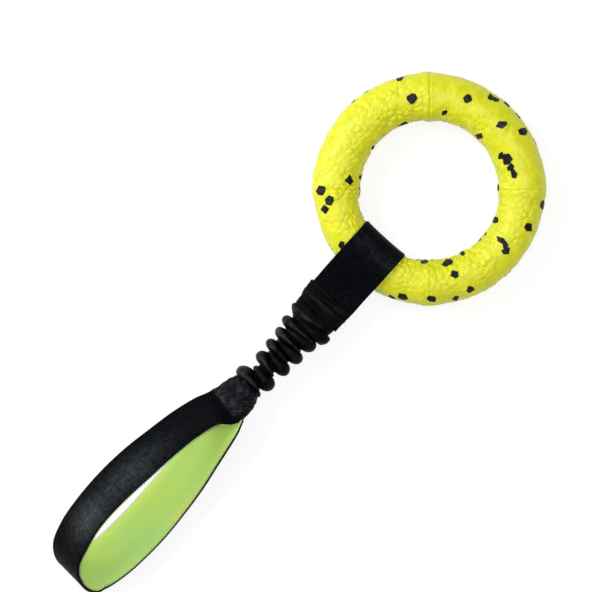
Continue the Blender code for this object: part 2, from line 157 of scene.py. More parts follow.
def build(name, material, *shells):
    """One object from closed shells, with each shell's faces turned outward."""
    points, faces, cloth = [], [], []
    start = 0
    for shell in shells:
        p, q = shell["points"], shell["quads"]
        corners = p[q]
        volume = np.sum(np.cross(corners[:, 0], corners[:, 1]) * corners[:, 2])
        volume += np.sum(np.cross(corners[:, 0], corners[:, 2]) * corners[:, 3])
        for cap in shell["caps"]:
            ring = p[cap]
            volume += np.sum(np.cross(ring[1:-1], ring[2:]) @ ring[0])
        way = slice(None) if volume > 0 else slice(None, None, -1)
        points.append(p)
        faces.extend((q[:, way] + start).tolist())
        cloth.append(shell["cloth"][:, way].reshape(-1, 2))
        for cap in shell["caps"]:
            faces.append([start + index for index in cap[way]])
            cloth.append(np.zeros((len(cap), 2)))
        start += len(p)
    mesh = bpy.data.meshes.new(name)
    mesh.from_pydata(np.concatenate(points).tolist(), [], faces)
    # Each point's painted sheen, with some wear, goes to the cloth materials as an attribute
    wear_and_painted_sheen = [shell.get("wear_and_painted_sheen", np.zeros(len(shell["points"]))) for shell in shells]
    mesh.attributes.new("wear_and_painted_sheen", "FLOAT", "POINT").data.foreach_set(
        "value", np.concatenate(wear_and_painted_sheen).astype(np.float32))
    flat = np.concatenate(cloth)
    values = mesh.attributes.new("cloth", "FLOAT_VECTOR", "CORNER")
    values.data.foreach_set("vector", np.c_[flat, np.zeros(len(flat))].astype(np.float32).ravel())
    mesh.materials.append(MATERIALS[material])
    mesh.shade_smooth()
    return put(name, mesh)


def wobble(points, size, seed, stretch=(1, 1, 1)):
    """Smooth noise from -1 to 1 at points, with bumps of about the given size."""
    shift = Vector(seed * NOISE_SHIFT)
    flat = (points * np.array(stretch)).reshape(-1, 3)
    values = [noise.noise(Vector(point) / size + shift) for point in flat]
    return np.array(values).reshape(points.shape[:-1])


def ripple(points, name):
    height, *shape = RIPPLES[name]
    return height * wobble(points, *shape)


def patches(points, name):
    level, swing, least, most, *shape = PATCHES[name]
    return np.clip(level + swing * wobble(points, *shape), least, most)


def ease(value, low, high):
    share = np.clip((value - low) / (high - low), 0, 1)
    return share * share * (3 - 2 * share)


def bell(value, middle, spread):
    """A smooth bump of height 1 round a middle."""
    return np.exp(-((value - middle) / spread) ** 2)


def bells(value, bumps):
    """The sum of bumps, each with a height, a middle and a spread."""
    return sum(height * bell(value, middle, spread) for height, middle, spread in bumps)


def round_angles(sides):
    return np.arange(sides) * math.tau / sides


def smooth_curve(points, steps):
    """A smooth curve through points, in equal steps."""
    points = np.asarray(points, float)
    knots = run_along(points[:, :3])
    slopes = np.gradient(points, knots, axis=0)
    places = np.linspace(0, knots[-1], steps + 1)
    index = np.clip(np.searchsorted(knots, places, side="right") - 1, 0, len(knots) - 2)
    span = np.diff(knots)[index][:, None]
    share = (places - knots[index])[:, None] / span
    rest = 1 - share
    return (points[index] * (1 + 2 * share) * rest ** 2
            + points[index + 1] * (1 + 2 * rest) * share ** 2
            + slopes[index] * span * share * rest ** 2
            - slopes[index + 1] * span * rest * share ** 2)


def band_section(half_width, thickness, base, cells, edge_cells=5, selvedge=0):
    """Across and outward places round a band's section, from its left edge over the top."""
    radius = thickness / 2
    flat = np.linspace(-1, 1, cells + 1) * (half_width - radius)
    turn = np.linspace(0, math.pi, edge_cells + 2)[1:-1]
    bead = selvedge * bell((half_width - np.abs(flat)) / SELVEDGE_WIDTH, SELVEDGE_PLACE, 1)
    across = [*flat, *(half_width - radius + radius * np.sin(turn)),
              *flat[::-1], *(-(half_width - radius) - radius * np.sin(turn))]
    outward = [*(thickness + bead), *(radius + radius * np.cos(turn)),
               *(-bead[::-1]), *(radius - radius * np.cos(turn))]
    return np.array(across), np.array(outward) + base


def band(middles, widths, normals, section):
    """A closed band swept along stations."""
    return capped(swept(middles, widths, normals, *section))


def tube(points, radius):
    """A round thread through points, closed at its ends."""
    points = np.asarray(points, float)
    heading = unit(np.gradient(points, axis=0))
    side = unit(np.cross(heading, THREAD_HELPER))
    angles = round_angles(THREAD_SIDES)
    radii = np.full((len(points), 1), radius)
    radii[[0, -1]] *= THREAD_END_SHARE
    return band(points, side, np.cross(heading, side),
                (radii * np.cos(angles), radii * np.sin(angles)))


# Materials

CLOTH_ROUGHNESS = 0.42
# Paler tone painted into the cloth as sheen, and the gloss raised with it
PAINTED_SHEEN_TONE = (0.024, 0.029, 0.033)
SHEEN_GLOSS_GAIN = 0.16


def grey(value):
    return (value, value, value)


class Nodes:
    """A node tree, with short calls that add nodes and link them."""

    def __init__(self, tree):
        self.tree = tree

    def add(self, kind, inputs=(), **settings):
        node = self.tree.nodes.new("ShaderNode" + kind)
        for key, value in settings.items():
            setattr(node, key, value)
        for key, value in dict(inputs).items():
            self.give(node.inputs[key], value)
        return node

    def give(self, target, value):
        if isinstance(value, bpy.types.NodeSocket):
            self.tree.links.new(value, target)
        else:
            target.default_value = value

    def maths(self, operation, *values):
        return self.add("Math", dict(enumerate(values)), operation=operation).outputs[0]

    def noise(self, place, scale, detail=2, roughness=0.5):
        return self.add("TexNoise", {"Vector": place, "Scale": scale, "Detail": detail,
                                     "Roughness": roughness}).outputs["Fac"]

    def spread(self, value, low, high, least=0, most=1):
        """Maps least to most on to low to high, and stops there."""
        return self.add("MapRange", {"Value": value, "From Min": least, "From Max": most,
                                     "To Min": low, "To Max": high}).outputs["Result"]

    def mix(self, share, first, second):
        return self.add("MixRGB", {"Fac": share, "Color1": first,
                                   "Color2": (*second, 1)}).outputs["Color"]

    def ramp(self, source, stops):
        """A colour ramp through (place, colour) stops."""
        node = self.add("ValToRGB", {"Fac": source})
        elements = node.color_ramp.elements
        while len(elements) < len(stops):
            elements.new(0.5)
        for element, (place, colour) in zip(elements, stops):
            element.position = place
            element.color = (*colour, 1)
        return node.outputs["Color"]


class Surface(Nodes):
    """A new material with its shader's fixed values set."""

    def __init__(self, name, **values):
        self.material = bpy.data.materials.new(name)
        self.material.use_nodes = True
        super().__init__(self.material.node_tree)
        self.set(**values)

    def set(self, **values):
        shader = self.tree.nodes["Principled BSDF"]
        for socket, value in values.items():
            self.give(shader.inputs[socket.replace("_", " ")], value)

    def place(self):
        return self.add("TexCoord").outputs["Object"]

    def attribute(self, name, output):
        return self.add("Attribute", attribute_name=name).outputs[output]

    def bump(self, height, strength, distance):
        self.set(Normal=self.add("Bump", {"Height": height, "Strength": strength,
                                          "Distance": distance}).outputs["Normal"])


def foam_material():
    """Neon foam: uneven yellow, satin, with fine pores."""
    foam = Surface("foam", IOR=1.46, Subsurface_Weight=0.12, Subsurface_Scale=0.002,
                   Subsurface_Radius=(1, 0.9, 0.25))
    place = foam.place()
    tones = foam.noise(place, 170, 3, 0.55)
    colour = foam.ramp(tones, ((0.28, (0.55, 0.6, 0.004)), (0.5, (0.66, 0.66, 0.005)),
                                 (0.72, (0.745, 0.71, 0.03))))
    wear = foam.ramp(foam.noise(place, 38), ((0.35, grey(0)), (0.75, grey(0.35))))
    foam.set(Base_Color=foam.mix(wear, colour, (0.6, 0.64, 0.005)),
             Roughness=foam.spread(tones, 0.32, 0.5))
    foam.bump(foam.noise(place, 2600, roughness=0.6), 0.25, 0.00008)
    return foam.material


def fleck_material():
    """Near-black rubber granules, each a little unlike its neighbours."""
    fleck = Surface("fleck", Roughness=0.5, Specular_IOR_Level=0.18)
    place = fleck.place()
    facets = fleck.add("TexVoronoi", {"Vector": place, "Scale": 620.0}).outputs["Color"]
    tone = fleck.maths("MULTIPLY", facets, fleck.noise(place, 90, 1))
    fleck.set(Base_Color=fleck.ramp(tone, ((0.05, (0.001, 0.0014, 0.0018)),
                                           (0.3, (0.0045, 0.006, 0.0075)),
                                           (0.55, (0.022, 0.027, 0.032)))))
    fleck.bump(fleck.noise(place, 1500), 0.4, 0.0001)
    return fleck.material


def woven_material(name, dark, light, yarn, rib=0.5, depth=0.00012, wear_size=60, gloss=0.08,
                   fuzz_size=2400):
    """Cloth woven from yarns of the given pitch, with a diagonal twill, worn patches and a painted
    sheen.
    """
    weave = Surface(name)
    maths = weave.maths
    cloth = weave.attribute("cloth", "Vector")
    split = weave.add("SeparateXYZ", {"Vector": cloth}).outputs
    waves = []
    for lengthwise, crosswise in ((0, 1), (1, 0), (rib, 1 - rib)):
        total = maths("ADD", maths("MULTIPLY", split["X"], lengthwise / yarn),
                      maths("MULTIPLY", split["Y"], crosswise / yarn))
        sine = maths("SINE", maths("MULTIPLY", total, math.tau))
        waves.append(weave.spread(sine, 0, 1, least=-1))
    warp, weft, twill = waves
    relief = maths("ADD", maths("MULTIPLY", warp, weft), twill)
    # Random worn patches that change the tone and roughness
    wear_and_painted_sheen = weave.noise(cloth, wear_size, 3)
    fuzz = weave.spread(weave.noise(cloth, fuzz_size), 0, 1, least=0.3, most=0.7)
    shade = maths("ADD", maths("MULTIPLY", maths("MULTIPLY", relief, 0.5), fuzz), wear_and_painted_sheen)
    colour = weave.ramp(shade, ((0.3, dark), (1, light)))
    # Painted sheen: where the mesh attribute for it is high, a paler tone is mixed into the colour
    # and the gloss is raised
    painted_sheen_mask = maths("MULTIPLY", weave.attribute("wear_and_painted_sheen", "Fac"),
                   weave.spread(shade, 0.15, 1.7, least=0.4, most=0.9))
    weave.set(Base_Color=weave.mix(painted_sheen_mask, colour, PAINTED_SHEEN_TONE),
              Specular_IOR_Level=maths("MULTIPLY_ADD", painted_sheen_mask, SHEEN_GLOSS_GAIN, gloss),
              Roughness=weave.spread(wear_and_painted_sheen, CLOTH_ROUGHNESS - 0.08, CLOTH_ROUGHNESS + 0.12))
    weave.bump(relief, 0.8, depth)
    return weave.material


def lining_material():
    """Lime neoprene with a fine knit face."""
    knit = Surface("lining", Roughness=0.85, Sheen_Weight=0.25, Sheen_Roughness=0.5)
    cloth = knit.attribute("cloth", "Vector")
    knit.set(Base_Color=knit.ramp(knit.noise(cloth, 24), ((0.4, (0.43, 0.695, 0.18)),
                                                            (0.62, (0.535, 0.69, 0.135)))))
    loops = knit.add("TexVoronoi", {"Vector": cloth, "Scale": 1500.0}).outputs["Distance"]
    knit.bump(loops, 0.35, 0.0001)
    return knit.material


def thread_material():
    """Black sewing thread, paler where its twist catches the light."""
    thread = Surface("thread", Roughness=0.6, Sheen_Weight=0.3)
    twist = thread.noise(thread.place(), 1800)
    thread.set(Base_Color=thread.ramp(twist, ((0.3, (0.005, 0.006, 0.007)),
                                              (0.8, (0.022, 0.025, 0.028)))))
    return thread.material


# Ring

RING_STEPS, RING_SIDES = ((172, 152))
INNER_STRIDE = 6
RING_RADIUS = 0.055
QUARTERS = ("left", "strap_side", "right", "tip")
QUARTER_TURN = math.pi / 2
QUARTER_TUBE_RADII = np.array((0.0138, 0.013, 0.0131, 0.0139))
QUARTER_RELIEF = np.array((1, 1, 1, 0.6))
TUBE_RADIUS = float(np.mean(QUARTER_TUBE_RADII))
SKIN_WALL = 0.004
# Seams: a swelling with a groove, and rows of points at shares of the groove's width
FIRST_SEAM = math.radians(42.1)
SEAM_SWELL = 0.0008
SEAM_SPREAD = 0.0062
SEAM_BLEND_SHARE = 0.09
GROOVE_DEPTH = 0.00028
GROOVE_WIDTH = 0.0006
SEAM_ROWS = np.array((0.25, 0.6, 1.1, 1.8))
SEAM_GAP = 0.00002
# Moulded relief: pebbles parted by creases, on swellings of two sizes
PEBBLE_SIZE = 0.0038
PEBBLE_JITTER = 0.6
CREASE_DEPTH = 0.00072
CREASE_WIDTH = 0.001
PEBBLE_CROWN = 0.4 * CREASE_DEPTH
PEBBLE_ROUNDING = 1.6
RELIEF_OUTSIDE = 0.42
RELIEF_GAIN_INSIDE = 0.7


def pebble_centres(picks):
    """Middles of the pebbles moulded all over the ring, spread in jittered rows."""
    centres = []
    row_count = round(math.tau * TUBE_RADIUS / PEBBLE_SIZE)
    for row in range(row_count):
        angle = math.tau * row / row_count
        reach = RING_RADIUS + TUBE_RADIUS * math.cos(angle)
        count = round(math.tau * reach / PEBBLE_SIZE)
        for column in range(count):
            place = column + picks.uniform(-PEBBLE_JITTER, PEBBLE_JITTER) + row % 2 / 2
            shift = picks.uniform(-PEBBLE_JITTER, PEBBLE_JITTER) * math.tau / row_count
            centres.append((math.tau * place / count, angle + shift))
    return np.array(centres)


def torus_points(bearings, angles, radii):
    reach = RING_RADIUS + radii * np.cos(angles)
    return RING_CENTRE + stacked(reach * np.cos(bearings), reach * np.sin(bearings),
                                 radii * np.sin(angles))


def tube_radii(bearings):
    """The tube's radius round the ring, with each bearing's quarter and distance to a seam."""
    turns = ((bearings - FIRST_SEAM) / QUARTER_TURN) % 4
    index = np.floor(turns).astype(int) % 4
    share = turns - np.floor(turns)
    own = QUARTER_TUBE_RADII
    before = (own[index - 1] - own[index]) / 2
    after = (own[(index + 1) % 4] - own[index]) / 2
    radii = own[index] + before * (1 - ease(share, 0, SEAM_BLEND_SHARE))
    radii += after * ease(share, 1 - SEAM_BLEND_SHARE, 1)
    run = np.minimum(share, 1 - share) * QUARTER_TURN * RING_RADIUS
    return radii + SEAM_SWELL * bell(run, 0, SEAM_SPREAD), index, run


def foam_surface(bearings, angles, lift=0, creased=1):
    """Points of the moulded foam at bearings round the ring and angles round its tube."""
    bearings, angles = np.broadcast_arrays(bearings, angles)
    flat_b, flat_a = bearings.ravel(), angles.ravel()
    radii, index, run = tube_radii(flat_b)
    plain = torus_points(flat_b, flat_a, TUBE_RADIUS)
    near = np.array([[found[2] for found in PEBBLES.find_n(point, 2)] for point in plain])
    inner = (1 - np.cos(flat_a)) / 2
    relief = QUARTER_RELIEF[index] * (RELIEF_OUTSIDE + RELIEF_GAIN_INSIDE * inner)
    relief = relief * patches(plain, "foam")
    crease = bell(near[:, 1] - near[:, 0], 0, CREASE_WIDTH)
    height = -CREASE_DEPTH * relief * crease * creased
    height += PEBBLE_CROWN * relief * (1 - (near[:, 0] / PEBBLE_SIZE * PEBBLE_ROUNDING) ** 2)
    height += (0.5 + 0.5 * inner) * ripple(plain, "foam_swell") + ripple(plain, "broad_swell")
    height -= GROOVE_DEPTH * bell(run, 0, GROOVE_WIDTH)
    points = torus_points(flat_b, flat_a, radii + height + lift)
    return points.reshape(*bearings.shape, 3)


def make_ring_quarter(index, name):
    """One moulded quarter, hollow for the core, with its rows crowded at its two seams."""
    ends = SEAM_ROWS * GROOVE_WIDTH / RING_RADIUS / QUARTER_TURN
    run = np.unique(np.concatenate((np.linspace(0, 1, RING_STEPS + 1), ends, 1 - ends)))
    gap = SEAM_GAP / RING_RADIUS
    bearings = FIRST_SEAM + index * QUARTER_TURN + gap + run * (QUARTER_TURN - 2 * gap)
    angles = -round_angles(RING_SIDES)
    outer = foam_surface(bearings[:, None], angles)
    inner_bearings = thinned(bearings, INNER_STRIDE)[:, None]
    inner = torus_points(inner_bearings, angles, TUBE_RADIUS - SKIN_WALL)
    piece = build(f"ring_skin_moulded_{name}", "foam",
                  lattice(np.concatenate((outer, inner)), round_rows=True))
    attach(piece, "ring")
    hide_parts(f"ring_skin_{name}")


# Flecks seen in the photograph: middle, width and height in pixels, turn in degrees
FLECKS_SEEN = (
    (400, 79, 8.6, 4.6, -10), (411, 100, 9.8, 10.6, 5), (366, 91, 6.5, 3, -38),
    (353, 101, 6.5, 3, -42), (404, 125.5, 9, 4, -25), (373, 148, 4, 2, -60),
    (444, 113.5, 6.4, 4.4, -25), (466.6, 99.7, 8.4, 9.8, 10), (489.5, 97.7, 6.6, 6.4, 20),
    (494.8, 100, 7.4, 5.4, 15), (507, 104.5, 8.2, 4, 42), (519, 115, 7.6, 4.2, 50),
    (500.7, 125.2, 10.4, 7, -18), (522.3, 131.8, 8.4, 7.4, 10), (537, 141.5, 7, 3.2, 62),
    (478.5, 136.3, 7.4, 6.8, 35), (500.8, 156.4, 7, 9, 5), (506.6, 159.6, 9.6, 10.4, 15),
    (509.4, 168, 6.6, 8.6, 0), (512.6, 174.6, 6.4, 8.6, -20), (497.6, 187, 3, 7.4, 0),
    (542.3, 204.9, 3.6, 10.4, 8), (527.4, 227.6, 7, 9.2, 0), (495.2, 220.6, 5.4, 6.4, 20),
    (483.3, 234, 5.6, 3.4, -52), (479, 240, 5, 2.4, -50), (500.2, 240.4, 9.6, 6.6, 28),
    (504.4, 245.2, 7, 8.2, 20), (505.4, 251, 9.6, 8.4, 10), (469.6, 289.5, 7.8, 7.6, -30),
    (455.8, 298.7, 8.4, 3.8, -18), (431.5, 299, 8.8, 6.2, 0), (402.3, 297.1, 9.8, 6.2, 15),
    (391.5, 296.8, 8, 2.6, 22), (454, 274.2, 10.2, 8.6, 15), (447.3, 263.3, 10.8, 5.4, -15),
    (462.1, 253.5, 4.6, 2.6, -35), (423.9, 261.7, 7.6, 3.6, -12), (320.8, 191.1, 8, 11, 24),
    (329.5, 200.9, 8.8, 9.2, 20), (324.9, 209.3, 6.8, 9.8, 5), (348.7, 180.9, 9, 9.4, 10),
    (360.8, 177.1, 2.8, 6.4, 10), (361.4, 191.2, 2.4, 7.6, 0), (341.5, 245, 7, 8.5, 30),
)
FLECK_CORNER_COUNTS = (4, 5, 5, 6, 7)
FLECK_CORNER_JITTER = 0.25
FLECK_REACHES = (0.88, 1.28)
FLECK_EDGE_STEPS = 3
FLECK_RINGS = 3
FLECK_MIDDLE_SHARE = 0.02
FLECK_LIFT = 0.0002
FLECK_DEPTH = 0.0009
FLECK_SHARP_ANGLE = math.radians(50)
STEEPEST_REACH = 0.992
# Flecks guessed on the underside, with limits for their width, height and turn
HIDDEN_FLECKS = 44
HIDDEN_SPACING = 0.011
HIDDEN_LIMITS = ((0.004, 0.0062), (0.0035, 0.005), (0, math.pi))
HIDDEN_ANGLES = (0.1, math.pi - 0.1)
HIDDEN_TUBE_RADIUS = 0.0135


def fleck_outline(picks, width, height, turn):
    """An uneven polygon of about the given size, as steps across and down the picture."""
    count = picks.choice(FLECK_CORNER_COUNTS)
    corners = []
    first = picks.uniform(0, math.tau)
    for corner in range(count):
        jitter = picks.uniform(-FLECK_CORNER_JITTER, FLECK_CORNER_JITTER)
        angle = first + math.tau * (corner + jitter) / count
        reach = picks.uniform(*FLECK_REACHES)
        corners.append((reach * math.cos(angle) * width / 2, reach * math.sin(angle) * height / 2))
    cosine, sine = math.cos(turn), math.sin(turn)
    corners = np.array(corners) @ np.array(((cosine, sine), (-sine, cosine)))
    return np.array([here + (there - here) * share
                     for here, there in zip(corners, np.roll(corners, -1, axis=0))
                     for share in np.arange(FLECK_EDGE_STEPS) / FLECK_EDGE_STEPS])


def place_on_ring(points, top_side, lift):
    """Drops points of the table's plane on to the ring's upper or lower face."""
    offset = points - RING_CENTRE[:2]
    bearings = np.arctan2(offset[:, 1], offset[:, 0])
    radii = tube_radii(bearings)[0]
    reach = (np.hypot(*offset.T) - RING_RADIUS) / radii
    angles = np.arccos(np.clip(reach, -STEEPEST_REACH, STEEPEST_REACH)) * (1 if top_side else -1)
    return foam_surface(bearings, angles, lift, creased=0)


def fleck_shell(outline, middle, top_side):
    """A fleck set into the foam, whose top follows the foam's own surface."""
    shares = (*np.linspace(1, 0, FLECK_RINGS + 1)[:-1], FLECK_MIDDLE_SHARE)
    flat = [middle + outline * share for share in shares]
    rows = [place_on_ring(points, top_side, -FLECK_DEPTH) for points in (flat[-1], flat[0])]
    rows += [place_on_ring(points, top_side, FLECK_LIFT) for points in flat]
    return capped(rows)


def make_flecks():
    """Dark granules: those photographed, and about as many guessed on the underside."""
    picks = random.Random(7)
    shells = {name: [] for name in QUARTERS}

    def place(middle, steps, top_side):
        offset = middle - RING_CENTRE[:2]
        turns = (math.atan2(offset[1], offset[0]) - FIRST_SEAM) / QUARTER_TURN % 4
        shells[QUARTERS[int(turns)]].append(fleck_shell(steps, middle, top_side))

    for right, down, width, height, turn in FLECKS_SEEN:
        outline = fleck_outline(picks, width, height, math.radians(turn))
        steps = (outline[:, :1] * ACROSS_PICTURE - outline[:, 1:] * UP_PICTURE) / PIXELS_PER_METRE
        place(picture_point(right, down), steps, True)
    hidden = []
    while len(hidden) < HIDDEN_FLECKS:
        bearing = picks.uniform(0, math.tau)
        angle = picks.uniform(*HIDDEN_ANGLES)
        reach = RING_RADIUS + HIDDEN_TUBE_RADIUS * math.cos(angle)
        middle = RING_CENTRE[:2] + reach * np.array((math.cos(bearing), math.sin(bearing)))
        if all(np.linalg.norm(middle - other) > HIDDEN_SPACING for other in hidden):
            hidden.append(middle)
            size_and_turn = [picks.uniform(*limits) for limits in HIDDEN_LIMITS]
            place(middle, fleck_outline(picks, *size_and_turn), False)
    for name, found in shells.items():
        piece = build(f"ring_flecks_{name}", "fleck", *found)
        piece.data.set_sharp_from_angle(angle=FLECK_SHARP_ANGLE)
        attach(piece, "ring")


# Strap

STRAP_WIDTH = 0.0306
STRAP_THICKNESS = 0.0015
STRAP_CELLS = 40
STRAP_EDGE_CELLS = 5
STRAP_LOOP_RADIUS = 0.0151
STRAP_BOW_SHARE = 0.15
STRAP_BOW_POWER = 0.7
LAYER_GAP = 0.0015
# The lower leg: from its tucked end straight to the knee's curve, and on to the tube
TUCKED_END_X = STRAP_FOLD[0] - 0.018
KNEE_X = STRAP_FOLD[0] + 0.005
KNEE_CURVE = 0.0045
KNEE_STEP = 0.0003
STRAIGHT_STATIONS, KNEE_STATIONS, LOOP_STATIONS = 24, 28, 80
# The strap sits a little to the right, and is narrower in the cuff
STRAP_SHIFT = 0.0004
SHIFT_EASE_X = (STRAP_FOLD[0] - 0.004, STRAP_FOLD[0] + 0.01)
TUCK_NARROWING = 0.035
TUCK_EASE_X = (STRAP_FOLD[0] - 0.014, STRAP_FOLD[0] - 0.001)
BEAD_HEIGHT, BEAD_WIDTH, BEAD_PLACE = 0.00012, 0.0014, 0.8
PUCKER_PLACE, PUCKER_SPREAD = 0.002, 0.006
UPPER_FACE = 0.004
# Painted sheen on the strap's upper face, by distance back from the fold: amount, place, spread
STRAP_PAINTED_SHEEN = ((0.15, 0, 0.0006), (0.2, 0.01, 0.004), (0.12, 0.0415, 0.003))


def parting_angle():
    """Where round the tube, from the hand side, the strap's legs leave it."""
    reach = RING_CENTRE[0] - RING_RADIUS - KNEE_X
    slope = math.asin(STRAP_LOOP_RADIUS / math.hypot(reach, LAYER_GAP))
    return math.pi / 2 - (slope - math.atan2(LAYER_GAP, reach))


def strap_place(angle, y):
    """The strap's inner face at an angle round the tube from the hand side, for each y."""
    reach = RING_RADIUS + STRAP_LOOP_RADIUS * math.cos(angle)
    sag = reach - np.sqrt(reach ** 2 - y ** 2)
    stiff = 1 - (1 - STRAP_BOW_SHARE) * max(0, -math.cos(angle)) ** STRAP_BOW_POWER
    x = RING_CENTRE[0] - reach + sag * stiff
    rest = RING_CENTRE[2] - STRAP_THICKNESS
    rise = max(-rest, min(rest, STRAP_LOOP_RADIUS * math.sin(angle)))
    return stacked(x, y, RING_CENTRE[2] + rise)


def strap_rows(y):
    """The strap's inner face: out along the lower leg, round the tube and back."""
    level = RING_CENTRE[2]
    rows = [stacked(x, y, level - LAYER_GAP)
            for x in np.linspace(TUCKED_END_X, KNEE_X - KNEE_CURVE, STRAIGHT_STATIONS)]
    leg_start = rows[-1] + np.array((KNEE_STEP, 0, 0))
    knee = leg_start.copy()
    knee[:, 0] = KNEE_X
    parting = parting_angle()
    end = strap_place(-parting, y)
    for share in np.linspace(0, 1, KNEE_STATIONS)[:-1]:
        rest = 1 - share
        rows.append(leg_start * rest ** 2 + 2 * knee * share * rest + end * share ** 2)
    rows.extend(strap_place(angle, y) for angle in np.linspace(-parting, -math.pi, LOOP_STATIONS))
    lower = np.array(rows)
    upper = lower[::-1] * np.array((1, 1, -1)) + np.array((0, 0, 2 * level))
    return np.concatenate((lower, upper[1:]))


def make_strap():
    """Webbing strap: two layers out of the cuff that part and go round the ring's tube."""
    level = RING_CENTRE[2]
    edge = STRAP_THICKNESS / 2
    y = np.linspace(-1, 1, STRAP_CELLS + 1) * (STRAP_WIDTH / 2 - edge)
    rows = strap_rows(y)
    normal = unit(np.cross(np.gradient(rows, axis=1), np.gradient(rows, axis=0)))
    if normal[len(rows) // 2, len(y) // 2, 0] < 0:
        normal = -normal
    x = rows[:, :1, 0]
    rows[:, :, 1] -= STRAP_SHIFT * (1 - 0.5 * ease(x, *SHIFT_EASE_X))
    rows[:, :, 1] *= 1 - TUCK_NARROWING * (1 - ease(x, *TUCK_EASE_X))
    near_seam = bell(rows[:, :, 0] - STRAP_FOLD[0], PUCKER_PLACE, PUCKER_SPREAD)
    rows += normal * (ripple(rows, "strap_pucker") * near_seam)[:, :, None]
    bead = bell((STRAP_WIDTH / 2 - np.abs(y)) / BEAD_WIDTH, BEAD_PLACE, 1)[None, :, None]
    outer = rows + normal * (STRAP_THICKNESS + BEAD_HEIGHT * bead)
    inner = rows - normal * (BEAD_HEIGHT * bead)
    left = np.array((0, 1, 0))
    left_edge, right_edge = (
        np.stack([rows[:, end] + normal[:, end] * (edge + way * edge * math.cos(turn))
                  + left * way * edge * math.sin(turn)
                  for turn in np.linspace(0, math.pi, STRAP_EDGE_CELLS + 2)[1:-1]], 1)
        for end, way in ((-1, 1), (0, -1)))
    section = np.concatenate((outer, left_edge, inner[:, ::-1], right_edge), axis=1)
    shell = capped(section)
    # Painted sheen on the upper face only: a thin highlight along the fold and broader bands
    # behind it
    behind = section[:, :, 0].max(axis=0) - section[:, :, 0]
    upper = section[:, :, 2] > level + UPPER_FACE
    shell["wear_and_painted_sheen"] = (patches(section, "strap") * upper * bells(behind, STRAP_PAINTED_SHEEN)).ravel()
    piece = build("strap_webbing", "webbing", shell)
    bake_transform(piece)
    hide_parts("ring_strap", "strap_end_upper", "strap_end_lower")


# Bungee: cuffs, sleeve and elastic

SLEEVE_STEPS, SLEEVE_SIDES = ((330, 120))
SLEEVE_WALL = 0.0008
CUFF_WALL = 0.0009
WALL_SHARE = 0.7
WALL_STRIDE = 3
# Middle line of cuffs and sleeve: places along X, and its Y and Z there
MIDDLE_Y = ((HANDLE_FOLD[0], -0.054, -0.05, -0.044, -0.034, -0.022, 0.013, STRAP_FOLD[0]),
            (0.0038, 0.0029, 0.0024, 0.0018, 0.0014, 0.0003, -0.0002, 0))
MIDDLE_Z = ((HANDLE_FOLD[0], -0.036, 0.013, STRAP_FOLD[0]),
            (HANDLE_FOLD[2], HANDLE_FOLD[2], RING_CENTRE[2], RING_CENTRE[2]))


def bungee_middle(x):
    """Middle line of cuffs and sleeve."""
    return stacked(x, np.interp(x, *MIDDLE_Y), np.interp(x, *MIDDLE_Z))


def leaning(tilts):
    """Unit directions across and out of a band that leans by the given angles about X."""
    return stacked(0, np.cos(tilts), -np.sin(tilts)), stacked(0, np.sin(tilts), np.cos(tilts))


def round_rows(middles, radii, angles):
    """Sections along the bungee at radii from its middle line."""
    return middles[:, None] + radii[:, :, None] * stacked(0, np.cos(angles), np.sin(angles))


def boxy_rows(x, stations, shape, tilts, angles):
    """Sections along the bungee whose half width, half height and squareness change."""
    half_width, half_height, squareness = (np.interp(x, stations, row)[:, None] for row in shape)
    cosine, sine = np.cos(angles), np.sin(angles)
    across = half_width * np.sign(cosine) * np.abs(cosine) ** (2 / squareness)
    outward = half_height * np.sign(sine) * np.abs(sine) ** (2 / squareness)
    return swept(bungee_middle(x), *leaning(tilts), across, outward)


def outward_ways(rows, middles):
    """Unit directions from the middle line to each point, square to X."""
    return unit((rows - middles[:, None]) * (0, 1, 1))


def walled(rows, middles, wall, wear_and_painted_sheen=None):
    """Outer rows, and inner rows drawn in by the wall towards the middle line."""
    outward = (rows - middles[:, None]) * (0, 1, 1)
    length = np.linalg.norm(outward, axis=2)[:, :, None]
    inner = rows - outward / length * np.minimum(wall, length * WALL_SHARE)
    inner = thinned(inner, WALL_STRIDE)
    shell = lattice(np.concatenate((rows, inner)), round_rows=True)
    if wear_and_painted_sheen is not None:
        shell["wear_and_painted_sheen"] = np.concatenate((wear_and_painted_sheen.ravel(), np.zeros(inner[:, :, 0].size)))
    return shell


# Sleeve: its ends, and the radius between folds at places along X
SLEEVE_ENDS_X = (0.0112, -0.0402)
SLEEVE_VALLEY = ((-0.04, -0.034, -0.024, -0.014, -0.005, 0.003, 0.011),
                 (0.0062, 0.0044, 0.0046, 0.0047, 0.0064, 0.008, 0.0094))
CRUMPLED_BELOW = 0.006
SLEEVE_PAINTED_SHEEN = 0.55
# Folds: place on its own side and on the other side along X, top radius, half width, side (1 left)
SLEEVE_FOLDS = (
    (0.0064, 0.0078, 0.0137, 0.0035, 1), (-0.0014, -0.0018, 0.0123, 0.0035, 1),
    (-0.0101, -0.0112, 0.0116, 0.0036, 1), (-0.0192, -0.0235, 0.0108, 0.0042, 1),
    (-0.0332, -0.035, 0.0123, 0.0047, 1),
    (0.004, 0.0028, 0.0129, 0.0045, -1), (-0.0065, -0.0055, 0.0124, 0.0044, -1),
    (-0.0164, -0.0143, 0.0115, 0.0046, -1), (-0.0292, -0.0262, 0.0112, 0.0052, -1),
    (-0.037, -0.0385, 0.0092, 0.0022, -1),
)
FOLD_REACH = 0.57
FOLD_TOP_BIAS = 0.43
FOLD_FAR_WIDTHS = {1: 0.26, -1: 0.34}
FOLD_LEAN = 0.08
FOLD_SHAPE = 0.45
FOLD_MERGING = 8
# Painted sheen on fold crests: how far round it reaches, and its strength on folds from each side
CREST_REACH = 1.6
CREST_SHEEN_BY_SIDE = {1: 1, -1: 0.25}


